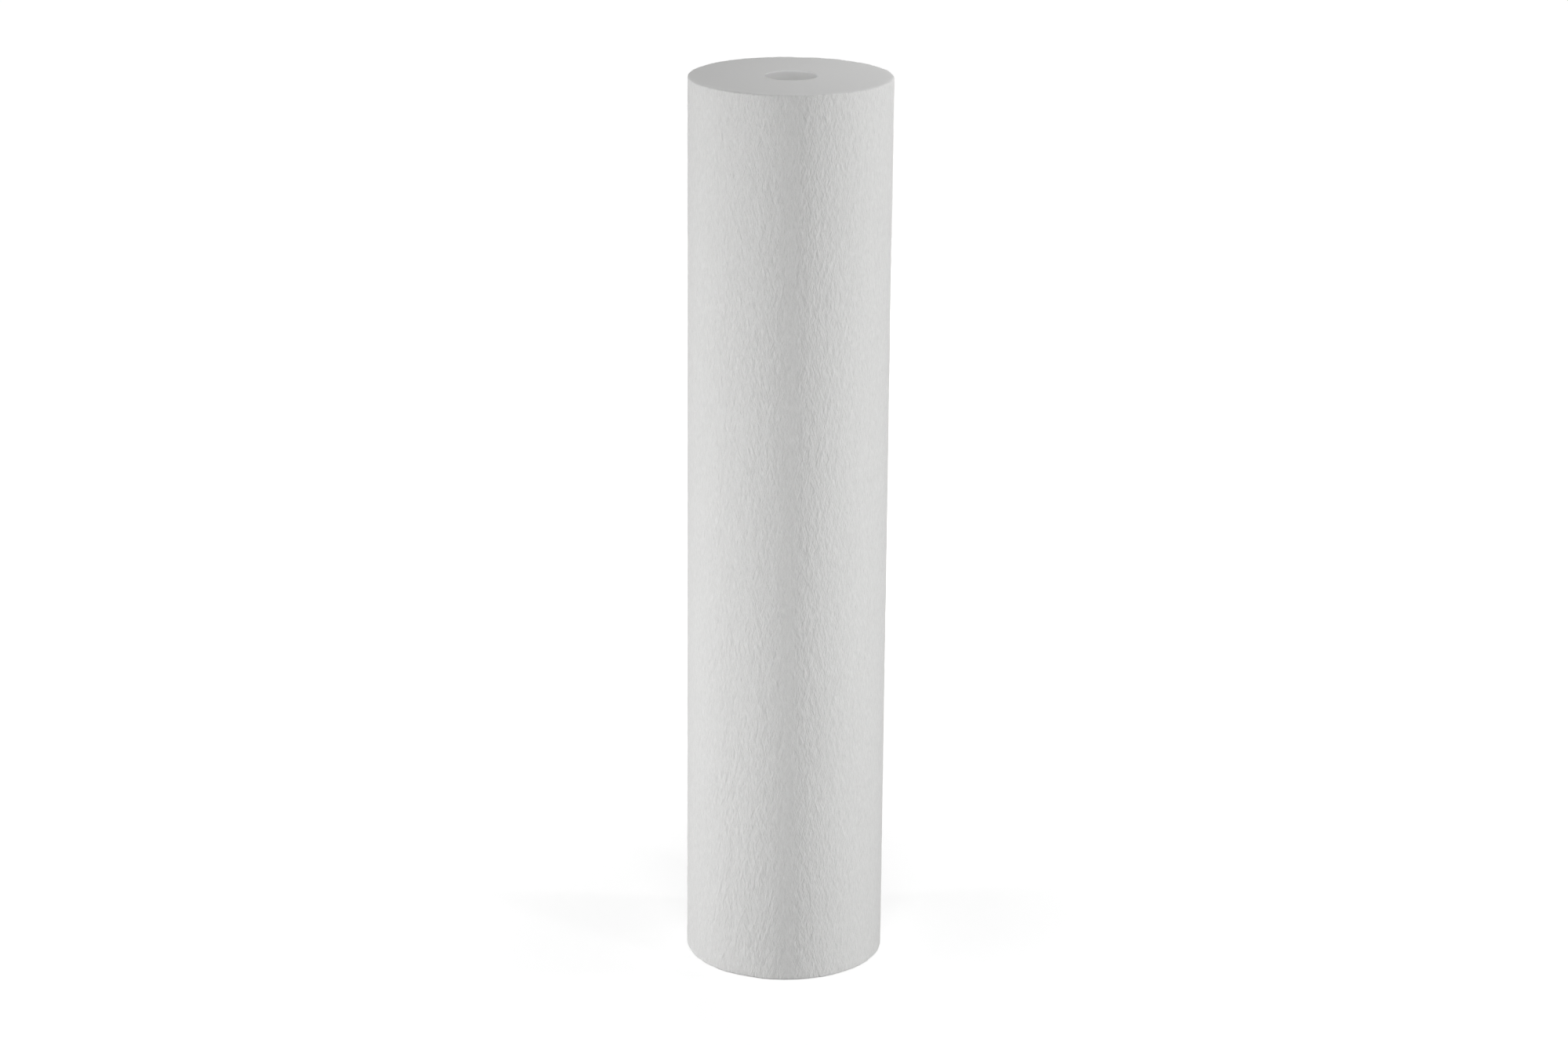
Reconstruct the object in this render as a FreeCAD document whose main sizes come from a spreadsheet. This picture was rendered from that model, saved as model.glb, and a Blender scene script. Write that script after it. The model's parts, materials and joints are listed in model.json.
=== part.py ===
# Sediment filter cartridge: one thick sleeve of melt-blown fibre, cut square at both
# ends, with a plain bore through its whole length. Millimetres, +Z up, origin at the
# centre of the lower end face.

import FreeCAD, Part
import math
import os

import Sketcher

PARTS_FOLDER = "parts"
NODE = "filter_sleeve"

# The driving sizes, in millimetres, as they go into the sheet.
SIZES = (
    ("sleeve_length", 508.0, "square-cut length over both end faces"),
    ("outer_diameter", 112.0, "outside of the fibre sleeve"),
    ("bore_diameter", 28.0, "clear bore for the posts of the housing"),
    ("rim_round", 1.2, "soft outer edge left by the cut"),
    ("lip_round", 0.8, "soft edge where the bore meets an end face"),
)


def make_sheet(doc):
    """Keeps each driving size in a cell that has the size's name as its alias."""
    sheet = doc.addObject("Spreadsheet::Sheet", "Sizes")
    for row, (name, value, meaning) in enumerate(SIZES, start=1):
        sheet.set(f"A{row}", name)
        sheet.set(f"B{row}", str(value))
        sheet.set(f"C{row}", meaning)
        sheet.setAlias(f"B{row}", name)
    doc.recompute()
    return sheet


def origin_feature(body, role):
    """The plane or axis of the body's own origin that has this role."""
    return next(item for item in body.Origin.OriginFeatures if item.Role == role)


def draw_wall_section(body, sheet):
    """Sketches the wall of the sleeve as a rectangle beside the axis."""
    section = body.newObject("Sketcher::SketchObject", "WallSection")
    section.AttachmentSupport = [(origin_feature(body, "XZ_Plane"), "")]
    section.MapMode = "FlatFace"

    inner = sheet.bore_diameter / 2
    outer = sheet.outer_diameter / 2
    top = sheet.sleeve_length
    corners = [
        FreeCAD.Vector(inner, 0, 0),
        FreeCAD.Vector(outer, 0, 0),
        FreeCAD.Vector(outer, top, 0),
        FreeCAD.Vector(inner, top, 0),
    ]
    bottom_line, outside_line, top_line, bore_line = range(4)
    for start, end in zip(corners, corners[1:] + corners[:1]):
        section.addGeometry(Part.LineSegment(start, end), False)

    start_point, end_point = 1, 2
    root = (-1, 1)
    for line in (bottom_line, outside_line, top_line, bore_line):
        following = (line + 1) % 4
        section.addConstraint(
            Sketcher.Constraint("Coincident", line, end_point, following, start_point)
        )
    for line in (bottom_line, top_line):
        section.addConstraint(Sketcher.Constraint("Horizontal", line))
    for line in (outside_line, bore_line):
        section.addConstraint(Sketcher.Constraint("Vertical", line))
    section.addConstraint(
        Sketcher.Constraint("DistanceY", *root, bottom_line, start_point, 0.0)
    )

    driven = (
        ("bore_radius", "DistanceX", bottom_line, start_point, inner, "bore_diameter / 2"),
        ("outer_radius", "DistanceX", bottom_line, end_point, outer, "outer_diameter / 2"),
        ("end_height", "DistanceY", outside_line, end_point, top, "sleeve_length"),
    )
    for name, kind, line, point, value, formula in driven:
        index = section.addConstraint(
            Sketcher.Constraint(kind, *root, line, point, value)
        )
        section.renameConstraint(index, name)
        section.setExpression(f"Constraints.{name}", f"<<{sheet.Label}>>.{formula}")
    return section


def spin_section(body, section):
    """Turns the wall section once round the bore's axis."""
    sleeve = body.newObject("PartDesign::Revolution", "SpunSleeve")
    sleeve.Profile = section
    sleeve.ReferenceAxis = (origin_feature(body, "Z_Axis"), [""])
    sleeve.Angle = 360.0
    section.Visibility = False
    return sleeve


def end_circles(shape, pick):
    """Names of the full circles that share the largest or the smallest radius."""
    circles = [
        (f"Edge{number}", edge.Curve.Radius)
        for number, edge in enumerate(shape.Edges, start=1)
        if edge.isClosed() and isinstance(edge.Curve, Part.Circle)
    ]
    wanted = pick(radius for _, radius in circles)
    return [name for name, radius in circles if math.isclose(radius, wanted)]


def soften_edges(body, base, name, pick, sheet, size_name):
    """Rounds the widest or the narrowest circles, one at each end of the sleeve."""
    rounded = body.newObject("PartDesign::Fillet", name)
    rounded.Base = (base, end_circles(base.Shape, pick))
    rounded.Radius = getattr(sheet, size_name)
    rounded.setExpression("Radius", f"<<{sheet.Label}>>.{size_name}")
    return rounded


def build_sleeve(doc, sheet):
    """Builds the sleeve: section, turn, outer rims, bore lips."""
    body = doc.addObject("PartDesign::Body", "FilterSleeve")
    body.Label = NODE
    body.Placement = FreeCAD.Placement()
    section = draw_wall_section(body, sheet)
    sleeve = spin_section(body, section)
    doc.recompute()
    rims = soften_edges(body, sleeve, "OuterRims", max, sheet, "rim_round")
    doc.recompute()
    soften_edges(body, rims, "BoreLips", min, sheet, "lip_round")
    doc.recompute()
    return body


def check(doc, body):
    """Stops the build where a feature failed or the sleeve isn't one sound solid."""
    failed = [
        item.Label
        for item in doc.Objects
        if "Invalid" in item.State or "Error" in item.State
    ]
    if failed:
        raise RuntimeError(f"these features failed: {failed}")
    shape = body.Shape
    if shape.isNull() or not shape.isValid() or len(shape.Solids) != 1:
        raise RuntimeError(f"{body.Label} is not one valid solid")


def main():
    doc = FreeCAD.newDocument("FilterCartridge")
    sheet = make_sheet(doc)
    body = build_sleeve(doc, sheet)
    check(doc, body)
    os.makedirs(PARTS_FOLDER, exist_ok=True)
    body.Shape.exportStep(f"{PARTS_FOLDER}/{body.Label}.step")
    box = body.Shape.optimalBoundingBox()
    print(f"{body.Label}: {box.XLength:.2f} x {box.YLength:.2f} x {box.ZLength:.2f} mm")
    print(f"volume {body.Shape.Volume / 1e6:.4f} litres")


main()
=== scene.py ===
# Looks of the sediment filter cartridge: a sleeve of melt-blown fibre, cut square at both
# ends, in soft studio light on a pale floor. Metres, +Z up, origin at the centre of the
# lower end face.

import json
import math

import bmesh
import bpy
from bpy.props import FloatProperty, FloatVectorProperty, IntProperty, PointerProperty
from mathutils import Matrix, Vector, noise


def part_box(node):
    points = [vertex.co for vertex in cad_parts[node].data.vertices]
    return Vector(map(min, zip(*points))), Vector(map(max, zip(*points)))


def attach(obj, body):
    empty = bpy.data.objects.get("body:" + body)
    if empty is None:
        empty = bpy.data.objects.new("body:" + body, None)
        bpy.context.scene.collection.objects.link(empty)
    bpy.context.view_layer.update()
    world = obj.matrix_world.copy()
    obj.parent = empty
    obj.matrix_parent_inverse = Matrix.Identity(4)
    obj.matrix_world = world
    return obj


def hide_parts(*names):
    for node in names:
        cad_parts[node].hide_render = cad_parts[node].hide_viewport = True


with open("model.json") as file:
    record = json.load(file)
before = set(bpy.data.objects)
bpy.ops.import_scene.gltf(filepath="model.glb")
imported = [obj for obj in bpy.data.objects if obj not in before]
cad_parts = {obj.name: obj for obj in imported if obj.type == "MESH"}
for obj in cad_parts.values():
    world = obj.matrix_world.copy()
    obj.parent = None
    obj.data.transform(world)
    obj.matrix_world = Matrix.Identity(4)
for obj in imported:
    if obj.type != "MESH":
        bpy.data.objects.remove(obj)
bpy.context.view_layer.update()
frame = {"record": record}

bl_info = {
    "name": "Melt-blown Filter Sleeve",
    "version": (1, 0, 0),
    "blender": (4, 5, 0),
    "location": "3D View > Sidebar > Filter Sleeve",
    "description": "Dresses the packed filter cartridge in melt-blown fibre and lights it",
    "category": "Object",
}

MM = 0.001
NODE = "filter_sleeve"
BODY = "root"
BAKE_MAP = "OFBake"

LOWEST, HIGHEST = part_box(NODE)
SLEEVE_LENGTH = HIGHEST[2] - LOWEST[2]
OUTER_RADIUS = (HIGHEST[0] - LOWEST[0]) / 2
CENTRE_BORE = next(
    mount for mount in frame["record"]["mounts"] if mount["name"] == "centre_bore"
)
BORE_RADIUS = CENTRE_BORE["dims"]["r_mm"] * MM

POLYPROPYLENE_IOR = 1.49

# The sides of the wall's section, which are also the order of the sleeve's materials.
SKIN, CUT_FACE, BORE_WALL = range(3)


def linear_colour(hex_code):
    """Turns an sRGB hex colour into the linear values that the shaders use."""
    channels = (int(hex_code[start:start + 2], 16) / 255 for start in (1, 3, 5))
    return tuple(
        channel / 12.92 if channel <= 0.04045 else ((channel + 0.055) / 1.055) ** 2.4
        for channel in channels
    )


class SleeveSizes(bpy.types.PropertyGroup):
    """Sizes of the sleeve and of the relief on its surfaces."""

    rim_round: FloatProperty(
        name="Rim round",
        description="Radius of the soft outer edge that the cut leaves",
        default=1.2 * MM,
        unit="LENGTH",
    )
    lip_round: FloatProperty(
        name="Lip round",
        description="Radius of the soft edge where the bore meets an end face",
        default=0.8 * MM,
        unit="LENGTH",
    )
    columns: IntProperty(
        name="Columns",
        description="Number of faces round the sleeve",
        default=300,
    )
    skin_row: FloatProperty(
        name="Skin row",
        description="Height of one row of faces on the outside",
        default=2.2 * MM,
        unit="LENGTH",
    )
    bore_row: FloatProperty(
        name="Bore row",
        description="Height of one row of faces in the bore",
        default=12 * MM,
        unit="LENGTH",
    )
    face_ring: FloatProperty(
        name="Face ring",
        description="Width of one ring of faces on the cut ends",
        default=3.2 * MM,
        unit="LENGTH",
    )
    clump_height: FloatProperty(
        name="Clump height",
        description="How far the thicker and thinner patches of fibre stand in and out",
        default=0.16 * MM,
        unit="LENGTH",
    )
    rope_height: FloatProperty(
        name="Rope height",
        description="How far the ropes of fibre that run along the sleeve stand in and out",
        default=0.16 * MM,
        unit="LENGTH",
    )
    cut_height: FloatProperty(
        name="Cut height",
        description="How far the knife-cut ends depart from a plane",
        default=0.08 * MM,
        unit="LENGTH",
    )
    rim_wander: FloatProperty(
        name="Rim wander",
        description="How far the knife pressed the cut edge in at most",
        default=0.45 * MM,
        unit="LENGTH",
    )
    rim_reach: FloatProperty(
        name="Rim reach",
        description="How far from the cut edge the fibre is pressed in",
        default=5 * MM,
        unit="LENGTH",
    )


class FibreColours(bpy.types.PropertyGroup):
    """Colours of the fibre where it was blown, cut and moulded on the mandrel; the hollows'
    colour is painted shade, and the bore's colour is whitened as painted light.
    """

    skin: FloatVectorProperty(
        name="Skin",
        description="Outside of the sleeve",
        subtype="COLOR",
        size=3,
        min=0,
        max=1,
        default=linear_colour("#EFEFEE"),
    )
    # Painted shade: a darker colour for the hollows between the strands, standing in for the
    # shadow that the strands cast there.
    painted_hollow_shade: FloatVectorProperty(
        name="Skin hollows",
        description="Between the strands on the outside",
        subtype="COLOR",
        size=3,
        min=0,
        max=1,
        default=linear_colour("#DADAD9"),
    )
    cut_face: FloatVectorProperty(
        name="Cut face",
        description="Knife-cut ends",
        subtype="COLOR",
        size=3,
        min=0,
        max=1,
        default=linear_colour("#E2E2E1"),
    )
    # Partly painted light: the dense bore wall is white fibre, and its colour is set whiter
    # than the skin to lift the shade deep in the bore.
    bore_white_with_painted_light: FloatVectorProperty(
        name="Bore wall",
        description="Dense wall of the bore",
        subtype="COLOR",
        size=3,
        min=0,
        max=1,
        default=linear_colour("#F6F6F5"),
    )


class StudioSetting(bpy.types.PropertyGroup):
    """Lights, floor and lens of the studio."""

    left_power: FloatProperty(
        name="Left softbox",
        description="Power of the low softbox at the left",
        default=9.8,
        unit="POWER",
    )
    right_power: FloatProperty(
        name="Right softbox",
        description="Power of the tall softbox at the right",
        default=6.0,
        unit="POWER",
    )
    right_front_power: FloatProperty(
        name="Right front softbox",
        description="Power of the softbox between the camera and the right side",
        default=3.4,
        unit="POWER",
    )
    front_power: FloatProperty(
        name="Front fill",
        description="Power of the low fill in front",
        default=1.1,
        unit="POWER",
    )
    top_front_power: FloatProperty(
        name="Top front softbox",
        description="Power of the softbox above the camera's side",
        default=4.1,
        unit="POWER",
    )
    top_left_power: FloatProperty(
        name="Top left softbox",
        description="Power of the softbox high at the left, which reaches the bore",
        default=1.5,
        unit="POWER",
    )
    near_top_power: FloatProperty(
        name="Near top light",
        description="Power of the small light close above the right half of the top face",
        default=0.29,
        unit="POWER",
    )
    back_power: FloatProperty(
        name="Back fill",
        description="Power of the wide fill behind the sleeve",
        default=17,
        unit="POWER",
    )
    room_light: FloatProperty(
        name="Room light",
        description="Strength of the even light from all round",
        default=0.015,
    )
    floor: FloatVectorProperty(
        name="Floor",
        description="Colour of the floor for the light that it throws back",
        subtype="COLOR",
        size=3,
        min=0,
        max=1,
        default=linear_colour("#909090"),
    )
    lens: FloatProperty(
        name="Lens",
        description="Focal length on a 36 mm wide sensor",
        default=87.27,
        unit="CAMERA",
    )


def add_node(tree, kind, inputs=None, **settings):
    """Adds a node, sets its properties, and fills its inputs with values or links."""
    added = tree.nodes.new(kind)
    for name, value in settings.items():
        setattr(added, name, value)
    for key, value in (inputs or {}).items():
        if isinstance(value, bpy.types.NodeSocket):
            tree.links.new(value, added.inputs[key])
        else:
            added.inputs[key].default_value = value
    return added


def new_material(name):
    """An empty node material and its tree."""
    material = bpy.data.materials.new(name)
    material.use_nodes = True
    material.node_tree.nodes.clear()
    return material, material.node_tree


def wound_strands(tree, point, lean, width, length, seed, **settings):
    """Noise drawn out into strands that lean from the axis and wind round the sleeve.

    The lean is in degrees, and width and length are the real size of one strand. The point
    turns about the axis as it climbs, which has no seam.
    """
    turn_per_metre = math.tan(math.radians(lean)) / OUTER_RADIUS
    parts = add_node(tree, "ShaderNodeSeparateXYZ", {0: point})
    angle = add_node(
        tree,
        "ShaderNodeMath",
        {0: parts.outputs["Z"], 1: turn_per_metre},
        operation="MULTIPLY",
    )
    turned = add_node(
        tree,
        "ShaderNodeVectorRotate",
        {"Vector": point, "Angle": angle.outputs[0]},
        rotation_type="Z_AXIS",
    )
    scaled = add_node(
        tree,
        "ShaderNodeMapping",
        {
            "Vector": turned.outputs[0],
            "Location": (seed, seed, seed),
            "Scale": (1 / width, 1 / width, 1 / length),
        },
    )
    return add_node(
        tree,
        "ShaderNodeTexNoise",
        {"Vector": scaled.outputs[0], "Scale": 1.0, "Detail": 1.0, "Distortion": 0.3},
        **settings,
    ).outputs["Fac"]


def weighted_sum(tree, terms):
    """Adds patterns, each times its weight."""
    total = None
    for socket, weight in terms:
        inputs = {0: socket, 1: weight}
        if total is None:
            step = add_node(tree, "ShaderNodeMath", inputs, operation="MULTIPLY")
        else:
            inputs[2] = total
            step = add_node(tree, "ShaderNodeMath", inputs, operation="MULTIPLY_ADD")
        total = step.outputs[0]
    return total


def skin_material(colours):
    """Melt-blown polypropylene, sprayed hot on a turning mandrel.

    To the eye it is a matte, felt-like white. Fine strands lie mostly along the sleeve
    and cross at a narrow angle, thicker ropes lift them here and there, and the hollows
    between the strands get a darker colour as painted shade, standing in for the shadow
    that the strands cast there. Single fibres are a few thousandths of a millimetre thick,
    so the strands stand for bundles of them.
    """
    material, tree = new_material("melt_blown_polypropylene_skin")
    point = add_node(tree, "ShaderNodeTexCoord").outputs["Object"]

    bundle_width, bundle_length, bundle_share = 0.7 * MM, 3.6 * MM, 0.33
    bundles = [
        wound_strands(tree, point, lean, bundle_width, bundle_length, seed)
        for lean, seed in ((18, 0), (-18, 1), (0, 2))
    ]
    speck_width, speck_length, speck_share = 0.45 * MM, 0.8 * MM, 0.28
    specks = wound_strands(tree, point, 0, speck_width, speck_length, seed=5.1)
    rope_width, rope_length, rope_share = 2.2 * MM, 9 * MM, 0.7
    ropes = [
        wound_strands(tree, point, lean, rope_width, rope_length, seed)
        for lean, seed in ((14, 7.3), (-14, 8.3))
    ]
    crease_width, crease_length, crease_share = 0.9 * MM, 5 * MM, 0.08
    creases = [
        wound_strands(
            tree, point, lean, crease_width, crease_length, seed,
            noise_type="RIDGED_MULTIFRACTAL",
        )
        for lean, seed in ((20, 13.9), (-20, 14.9))
    ]
    height = weighted_sum(
        tree,
        [(bundle, bundle_share) for bundle in bundles]
        + [(rope, rope_share) for rope in ropes]
        + [(crease, crease_share) for crease in creases]
        + [(specks, speck_share)],
    )
    bump = add_node(
        tree,
        "ShaderNodeBump",
        {"Height": height, "Strength": 1.0, "Distance": 0.6 * MM},
    )
    fine_patterns = (*bundles, specks)
    fine_height = weighted_sum(
        tree, [(pattern, 1 / len(fine_patterns)) for pattern in fine_patterns]
    )
    # Painted shade: where the fine strands lie low, the colour goes toward the darker hollow
    # colour, standing in for the shadow between them.
    deepest, highest = 0.3, 0.7
    shade = add_node(
        tree,
        "ShaderNodeMapRange",
        {"Value": fine_height, "From Min": deepest, "From Max": highest},
    )
    colour_a, colour_b, mixed_colour = 6, 7, 2
    colour = add_node(
        tree,
        "ShaderNodeMix",
        {
            "Factor": shade.outputs[0],
            colour_a: (*colours.painted_hollow_shade, 1),
            colour_b: (*colours.skin, 1),
        },
        data_type="RGBA",
    )
    shader = add_node(
        tree,
        "ShaderNodeBsdfPrincipled",
        {
            "Base Color": colour.outputs[mixed_colour],
            "Roughness": 0.85,
            "IOR": POLYPROPYLENE_IOR,
            "Normal": bump.outputs[0],
        },
    )
    add_node(tree, "ShaderNodeOutputMaterial", {"Surface": shader.outputs[0]})
    return material


def cut_face_material(colours):
    """Melt-blown polypropylene where a knife cut it across.

    The cut ends of the fibres give a smoother, faintly mottled matte face with no strands.
    """
    material, tree = new_material("knife_cut_polypropylene_face")
    point = add_node(tree, "ShaderNodeTexCoord").outputs["Object"]
    mottle_size = 3.5 * MM
    mottle = add_node(
        tree,
        "ShaderNodeTexNoise",
        {"Vector": point, "Scale": 1 / mottle_size, "Detail": 4.0, "Roughness": 0.6},
    )
    bump = add_node(
        tree,
        "ShaderNodeBump",
        {"Height": mottle.outputs["Fac"], "Strength": 1.0, "Distance": 0.1 * MM},
    )
    shader = add_node(
        tree,
        "ShaderNodeBsdfPrincipled",
        {
            "Base Color": (*colours.cut_face, 1),
            "Subsurface Weight": 0.7,
            "Subsurface Radius": (1, 1, 1),
            "Subsurface Scale": 5 * MM,
            "Roughness": 0.9,
            "IOR": POLYPROPYLENE_IOR,
            "Normal": bump.outputs[0],
        },
    )
    add_node(tree, "ShaderNodeOutputMaterial", {"Surface": shader.outputs[0]})
    return material


def bore_wall_material(colours):
    """Melt-blown polypropylene that set against the mandrel.

    It is the densest and smoothest of the sleeve's surfaces, still matte and white, and its
    colour is set whiter than the skin as painted light, which lifts the shade deep in the
    bore.
    """
    material, tree = new_material("mandrel_formed_polypropylene_bore")
    point = add_node(tree, "ShaderNodeTexCoord").outputs["Object"]
    weld_size = 2 * MM
    welds = add_node(
        tree,
        "ShaderNodeTexNoise",
        {"Vector": point, "Scale": 1 / weld_size, "Detail": 3.0, "Roughness": 0.5},
    )
    bump = add_node(
        tree,
        "ShaderNodeBump",
        {"Height": welds.outputs["Fac"], "Strength": 1.0, "Distance": 0.08 * MM},
    )
    shader = add_node(
        tree,
        "ShaderNodeBsdfPrincipled",
        {
            # Partly painted light: a whiter colour than the skin, to lift the shade in the
            # bore.
            "Base Color": (*colours.bore_white_with_painted_light, 1),
            "Subsurface Weight": 1.0,
            "Subsurface Radius": (1, 1, 1),
            "Subsurface Scale": 11 * MM,
            "Roughness": 0.75,
            "IOR": POLYPROPYLENE_IOR,
            "Normal": bump.outputs[0],
        },
    )
    add_node(tree, "ShaderNodeOutputMaterial", {"Surface": shader.outputs[0]})
    return material


def draw_wall_section(bm, sizes):
    """Draws the wall behind the axis: four corners, rounded, with rows on its sides."""
    corners = [
        bm.verts.new((0, radius, height))
        for radius, height in (
            (BORE_RADIUS, 0),
            (OUTER_RADIUS, 0),
            (OUTER_RADIUS, SLEEVE_LENGTH),
            (BORE_RADIUS, SLEEVE_LENGTH),
        )
    ]
    for start, end in zip(corners, corners[1:] + corners[:1]):
        bm.edges.new((start, end))
    rims, lips = corners[1:3], corners[:1] + corners[3:]
    for points, radius in ((rims, sizes.rim_round), (lips, sizes.lip_round)):
        bmesh.ops.bevel(
            bm,
            geom=points,
            offset=radius,
            affect="VERTICES",
            segments=6,
            profile=0.5,
            material=-1,
        )

    middle = (BORE_RADIUS + OUTER_RADIUS) / 2
    longest_arc = 2 * max(sizes.rim_round, sizes.lip_round)
    for edge in [edge for edge in bm.edges if edge.calc_length() > longest_arc]:
        start, end = (vert.co for vert in edge.verts)
        if abs(start.z - end.z) < longest_arc:
            row = sizes.face_ring
        elif start.y > middle:
            row = sizes.skin_row
        else:
            row = sizes.bore_row
        cuts = round(edge.calc_length() / row) - 1
        bmesh.ops.subdivide_edges(bm, edges=[edge], cuts=cuts)


def spin_wall(bm, sizes):
    """Turns the section through one sector, and repeats the sector round the axis."""
    sectors, weld_distance = 10, 0.02 * MM
    sector_angle = 2 * math.pi / sectors
    bmesh.ops.spin(
        bm,
        geom=bm.verts[:] + bm.edges[:],
        axis=(0, 0, 1),
        angle=sector_angle,
        steps=sizes.columns // sectors,
    )
    bmesh.ops.spin(
        bm,
        geom=bm.verts[:] + bm.edges[:] + bm.faces[:],
        axis=(0, 0, 1),
        angle=sector_angle * (sectors - 1),
        steps=sectors - 1,
        use_duplicate=True,
    )
    bmesh.ops.remove_doubles(bm, verts=bm.verts, dist=weld_distance)
    bmesh.ops.recalc_face_normals(bm, faces=bm.faces)


def side_of(normal, radius):
    """Which side of the wall's section a face or point belongs to."""
    furthest_lean = math.radians(30)
    if abs(normal.z) > math.cos(furthest_lean):
        return CUT_FACE
    return SKIN if radius > (BORE_RADIUS + OUTER_RADIUS) / 2 else BORE_WALL


def layered_noise(place, layers):
    """Noise in layers, each with half the size and half the strength of the one before."""
    strength_drop, size_ratio = 1.0, 2.0
    return noise.fractal(place, strength_drop, size_ratio, layers)


def wound_noise(point, lean, width, length, seed):
    """Noise drawn out as in the skin's material, for the mesh itself."""
    angle = math.tan(math.radians(lean)) / OUTER_RADIUS * point.z
    turned = Matrix.Rotation(angle, 3, "Z") @ point
    place = Vector((turned.x / width, turned.y / width, turned.z / length))
    return noise.noise(place + Vector((seed, seed, seed)))


def skin_height(point, sizes):
    """How far the outside stands in or out at a point."""
    clump_size, rope_width, rope_length = 16 * MM, 4 * MM, 26 * MM
    clumps = layered_noise(point / clump_size, layers=3)
    ropes = sum(
        wound_noise(point, lean, rope_width, rope_length, seed)
        for lean, seed in ((14, 11.0), (-14, 23.0))
    )
    return clumps * sizes.clump_height / 2 + ropes * sizes.rope_height / 2


def rim_press(point, sizes):
    """How far the knife pressed the outer edge in at a point, differently at each end."""
    press_size, end_shift = 14 * MM, 5
    from_end = min(point.z, SLEEVE_LENGTH - point.z)
    from_edge = max(from_end, OUTER_RADIUS - point.xy.length)
    nearness = max(0.0, 1 - from_edge / sizes.rim_reach)
    end = round(point.z / SLEEVE_LENGTH)
    place = Vector((*point.xy, 0)) / press_size + Vector((0, 0, end_shift * end))
    return sizes.rim_wander * nearness**2 * abs(layered_noise(place, layers=4))


def raise_relief(bm, sizes):
    """Moves each point of the sleeve along its normal by the relief of its side."""
    dip_size = 9 * MM
    bm.normal_update()
    moves = []
    for vert in bm.verts:
        point = vert.co
        side = side_of(vert.normal, point.xy.length)
        if side == SKIN:
            height = skin_height(point, sizes)
        elif side == CUT_FACE:
            dips = abs(layered_noise(point / dip_size, layers=3))
            height = -dips * sizes.cut_height
        else:
            height = 0.0
        if side != BORE_WALL:
            height -= rim_press(point, sizes)
        moves.append(vert.normal * height)
    for vert, move in zip(bm.verts, moves):
        vert.co += move


def turn_share(point):
    """How far round the axis a point lies, as a share of a full turn."""
    return math.atan2(point.x, -point.y) / (2 * math.pi) + 0.5


def lay_out_map(bm):
    """Unrolls the outside and the bore, and lays the two ends flat, side by side."""
    layer = bm.loops.layers.uv.new(BAKE_MAP)
    skin_right, bore_left, walls_top, gap = 0.79, 0.8, 0.79, 0.005
    disc = (1 - walls_top - 2 * gap) / 2
    for face in bm.faces:
        face_turn = turn_share(face.calc_center_median())
        for loop in face.loops:
            point = loop.vert.co
            across = turn_share(point)
            across += round(face_turn - across)
            up = gap + point.z / SLEEVE_LENGTH * (walls_top - gap)
            if face.material_index == SKIN:
                place = (gap + across * (skin_right - gap), up)
            elif face.material_index == BORE_WALL:
                place = (bore_left + across * (1 - gap - bore_left), up)
            else:
                column = 1 if face.normal.z > 0 else 3
                place = (
                    column * (disc + gap) + disc * point.x / OUTER_RADIUS,
                    1 - gap - disc + disc * point.y / OUTER_RADIUS,
                )
            loop[layer].uv = place


class FILTER_OT_build_sleeve(bpy.types.Operator):
    """Builds the sleeve of melt-blown fibre around its bore"""

    bl_idname = "filter.build_sleeve"
    bl_label = "Build Sleeve"

    def execute(self, context):
        sizes = context.scene.sleeve_sizes
        colours = context.scene.fibre_colours
        bm = bmesh.new()
        draw_wall_section(bm, sizes)
        spin_wall(bm, sizes)
        for face in bm.faces:
            face.smooth = True
            face.material_index = side_of(
                face.normal, face.calc_center_median().xy.length
            )
        raise_relief(bm, sizes)
        lay_out_map(bm)

        mesh = bpy.data.meshes.new("melt_blown_sleeve")
        bm.to_mesh(mesh)
        bm.free()
        for make in (skin_material, cut_face_material, bore_wall_material):
            mesh.materials.append(make(colours))
        sleeve = bpy.data.objects.new("melt_blown_sleeve", mesh)
        context.scene.collection.objects.link(sleeve)
        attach(sleeve, BODY)
        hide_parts(NODE)
        return {"FINISHED"}


def white_for_the_camera(tree, seen, lit, output):
    """Shows one shader to the camera, mirrors and glass, and lights the scene by another."""
    path = add_node(tree, "ShaderNodeLightPath").outputs
    share = path["Is Camera Ray"]
    for ray in ("Is Glossy Ray", "Is Transmission Ray"):
        share = add_node(
            tree,
            "ShaderNodeMath",
            {0: share, 1: path[ray]},
            operation="ADD",
            use_clamp=True,
        ).outputs[0]
    mixed = add_node(tree, "ShaderNodeMixShader", {0: share, 1: lit, 2: seen})
    add_node(tree, output, {"Surface": mixed.outputs[0]})


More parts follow.
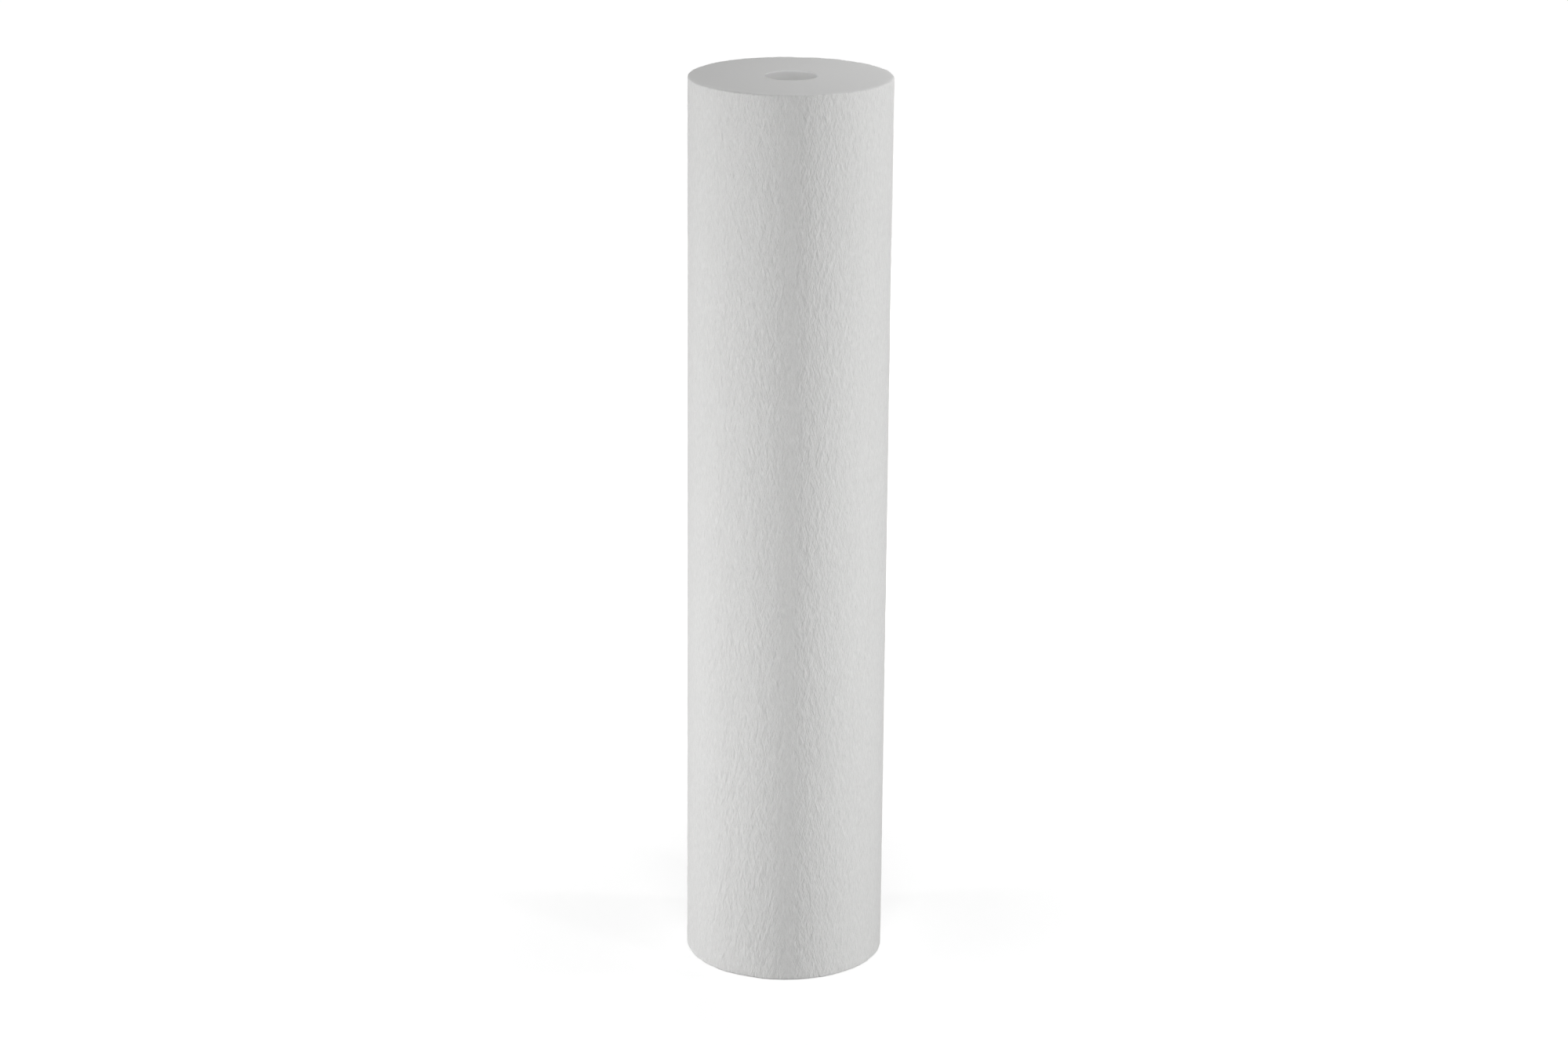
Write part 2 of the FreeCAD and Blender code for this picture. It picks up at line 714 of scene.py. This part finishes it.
def floor_material(studio):
    """Matte white studio sweep: a plain white ground that keeps a soft shadow.

    The ground near the sleeve takes part of its white from the lamps, so the shadow shows.
    """
    material, tree = new_material("matte_white_sweep")
    ground = add_node(
        tree, "ShaderNodeBsdfDiffuse", {"Color": (*studio.floor, 1)}
    ).outputs[0]
    point = add_node(tree, "ShaderNodeTexCoord").outputs["Object"]
    from_axis = add_node(
        tree, "ShaderNodeVectorMath", {0: point}, operation="LENGTH"
    ).outputs["Value"]
    near, far = 0.08, 0.5
    near_white, full_white = 0.68, 1.0
    shadow_grey = (0.55, 0.55, 0.55, 1)
    glow = add_node(
        tree,
        "ShaderNodeMapRange",
        {
            "Value": from_axis,
            "From Min": near,
            "From Max": far,
            "To Min": near_white,
            "To Max": full_white,
        },
        interpolation_type="SMOOTHSTEP",
    ).outputs[0]
    shadowed = add_node(
        tree, "ShaderNodeBsdfDiffuse", {"Color": shadow_grey}
    ).outputs[0]
    white = add_node(
        tree, "ShaderNodeEmission", {"Color": (1, 1, 1, 1), "Strength": glow}
    ).outputs[0]
    seen = add_node(tree, "ShaderNodeAddShader", {0: shadowed, 1: white}).outputs[0]
    white_for_the_camera(tree, seen, ground, "ShaderNodeOutputMaterial")
    return material


def add_floor(context, studio):
    """Lays the floor under the sleeve."""
    half_side = 8.0
    bm = bmesh.new()
    bmesh.ops.create_grid(bm, x_segments=1, y_segments=1, size=half_side)
    mesh = bpy.data.meshes.new("studio_floor")
    bm.to_mesh(mesh)
    bm.free()
    mesh.materials.append(floor_material(studio))
    floor = bpy.data.objects.new("studio_floor", mesh)
    context.scene.collection.objects.link(floor)


def add_softbox(context, name, power, place, aim, wide, tall):
    """Hangs a rectangular light that faces a point."""
    light = bpy.data.lights.new(name, "AREA")
    light.shape = "RECTANGLE"
    light.size = wide
    light.size_y = tall
    light.energy = power
    softbox = bpy.data.objects.new(name, light)
    place, aim = Vector(place), Vector(aim)
    facing = (aim - place).to_track_quat("-Z", "Y").to_matrix().to_4x4()
    softbox.matrix_world = Matrix.Translation(place) @ facing
    softbox.visible_camera = False
    context.scene.collection.objects.link(softbox)


def beside(angle, distance, height):
    """A point round the sleeve, at an angle from the camera's side to the right."""
    angle = math.radians(angle)
    return (distance * math.sin(angle), -distance * math.cos(angle), height)


def on_axis(height):
    """A point on the sleeve's axis."""
    return (0, 0, height)


def add_lights(context, studio):
    """Narrow softboxes at the sides, fills in front and behind, and lights above."""
    add_softbox(
        context, "left_softbox", studio.left_power,
        place=beside(-82, 1.1, 0.1), aim=on_axis(0.1), wide=0.1, tall=0.36,
    )
    add_softbox(
        context, "right_softbox", studio.right_power,
        place=beside(87, 1.2, 0.24), aim=on_axis(0.24), wide=0.1, tall=0.5,
    )
    add_softbox(
        context, "right_front_softbox", studio.right_front_power,
        place=beside(52, 1.2, 0.36), aim=on_axis(0.36), wide=0.12, tall=0.36,
    )
    add_softbox(
        context, "front_fill", studio.front_power,
        place=beside(-2, 0.7, 0.1), aim=on_axis(0.25), wide=0.2, tall=0.2,
    )
    add_softbox(
        context, "top_front_softbox", studio.top_front_power,
        place=(0, -0.8, 1.5), aim=on_axis(SLEEVE_LENGTH), wide=0.4, tall=0.4,
    )
    add_softbox(
        context, "top_left_softbox", studio.top_left_power,
        place=(-0.8, -0.3, 1.2), aim=on_axis(SLEEVE_LENGTH), wide=0.4, tall=0.4,
    )
    add_softbox(
        context, "near_top_light", studio.near_top_power,
        place=(0.14, 0.05, 0.74), aim=on_axis(SLEEVE_LENGTH), wide=0.15, tall=0.15,
    )
    add_softbox(
        context, "back_fill", studio.back_power,
        place=beside(175, 1.8, 0.28), aim=on_axis(0.28), wide=0.8, tall=0.44,
    )


def light_the_room(context, studio):
    """Gives the world an even dim light, and shows it white."""
    world = bpy.data.worlds.new("white_room")
    world.use_nodes = True
    tree = world.node_tree
    tree.nodes.clear()
    white = (1, 1, 1, 1)
    seen = add_node(tree, "ShaderNodeBackground", {"Color": white, "Strength": 1.0})
    lit = add_node(
        tree, "ShaderNodeBackground", {"Color": white, "Strength": studio.room_light}
    )
    white_for_the_camera(tree, seen.outputs[0], lit.outputs[0], "ShaderNodeOutputWorld")
    context.scene.world = world


def add_camera(context, studio):
    """Sets the camera in front of the sleeve, level with a point above it, looking down."""
    distance, height = 2.0346, 0.8918
    pitch, yaw, roll = (math.radians(angle) for angle in (17.401, -0.051, 0.468))
    lens = bpy.data.cameras.new("studio_camera")
    lens.sensor_width = 36.0
    lens.lens = studio.lens
    camera = bpy.data.objects.new("studio_camera", lens)
    camera.matrix_world = (
        Matrix.Translation((0, -distance, height))
        @ Matrix.Rotation(-yaw, 4, "Z")
        @ Matrix.Rotation(math.pi / 2 - pitch, 4, "X")
        @ Matrix.Rotation(roll, 4, "Z")
    )
    context.scene.collection.objects.link(camera)
    context.scene.camera = camera


class FILTER_OT_set_stage(bpy.types.Operator):
    """Sets the floor, the lights, the white surroundings and the camera"""

    bl_idname = "filter.set_stage"
    bl_label = "Set Stage"

    def execute(self, context):
        studio = context.scene.filter_studio
        add_floor(context, studio)
        add_lights(context, studio)
        light_the_room(context, studio)
        add_camera(context, studio)
        context.scene.view_settings.view_transform = "Standard"
        return {"FINISHED"}


class FILTER_PT_sleeve(bpy.types.Panel):
    """Lists the steps and settings of the filter sleeve"""

    bl_idname = "FILTER_PT_sleeve"
    bl_label = "Filter Sleeve"
    bl_space_type = "VIEW_3D"
    bl_region_type = "UI"
    bl_category = "Filter Sleeve"

    def draw(self, context):
        for settings in (
            context.scene.sleeve_sizes,
            context.scene.fibre_colours,
            context.scene.filter_studio,
        ):
            box = self.layout.box()
            for name in settings.__annotations__:
                box.prop(settings, name)
        for step in (FILTER_OT_build_sleeve, FILTER_OT_set_stage):
            self.layout.operator(step.bl_idname)


CLASSES = (
    SleeveSizes,
    FibreColours,
    StudioSetting,
    FILTER_OT_build_sleeve,
    FILTER_OT_set_stage,
    FILTER_PT_sleeve,
)


def register():
    """Registers the classes and hangs the settings on the scene."""
    for each in CLASSES:
        bpy.utils.register_class(each)
    bpy.types.Scene.sleeve_sizes = PointerProperty(type=SleeveSizes)
    bpy.types.Scene.fibre_colours = PointerProperty(type=FibreColours)
    bpy.types.Scene.filter_studio = PointerProperty(type=StudioSetting)


def unregister():
    """Takes the settings and the classes away again."""
    del bpy.types.Scene.filter_studio
    del bpy.types.Scene.fibre_colours
    del bpy.types.Scene.sleeve_sizes
    for each in reversed(CLASSES):
        bpy.utils.unregister_class(each)


def main():
    register()
    bpy.ops.filter.build_sleeve()
    bpy.ops.filter.set_stage()


if __name__ == "__main__":
    main()
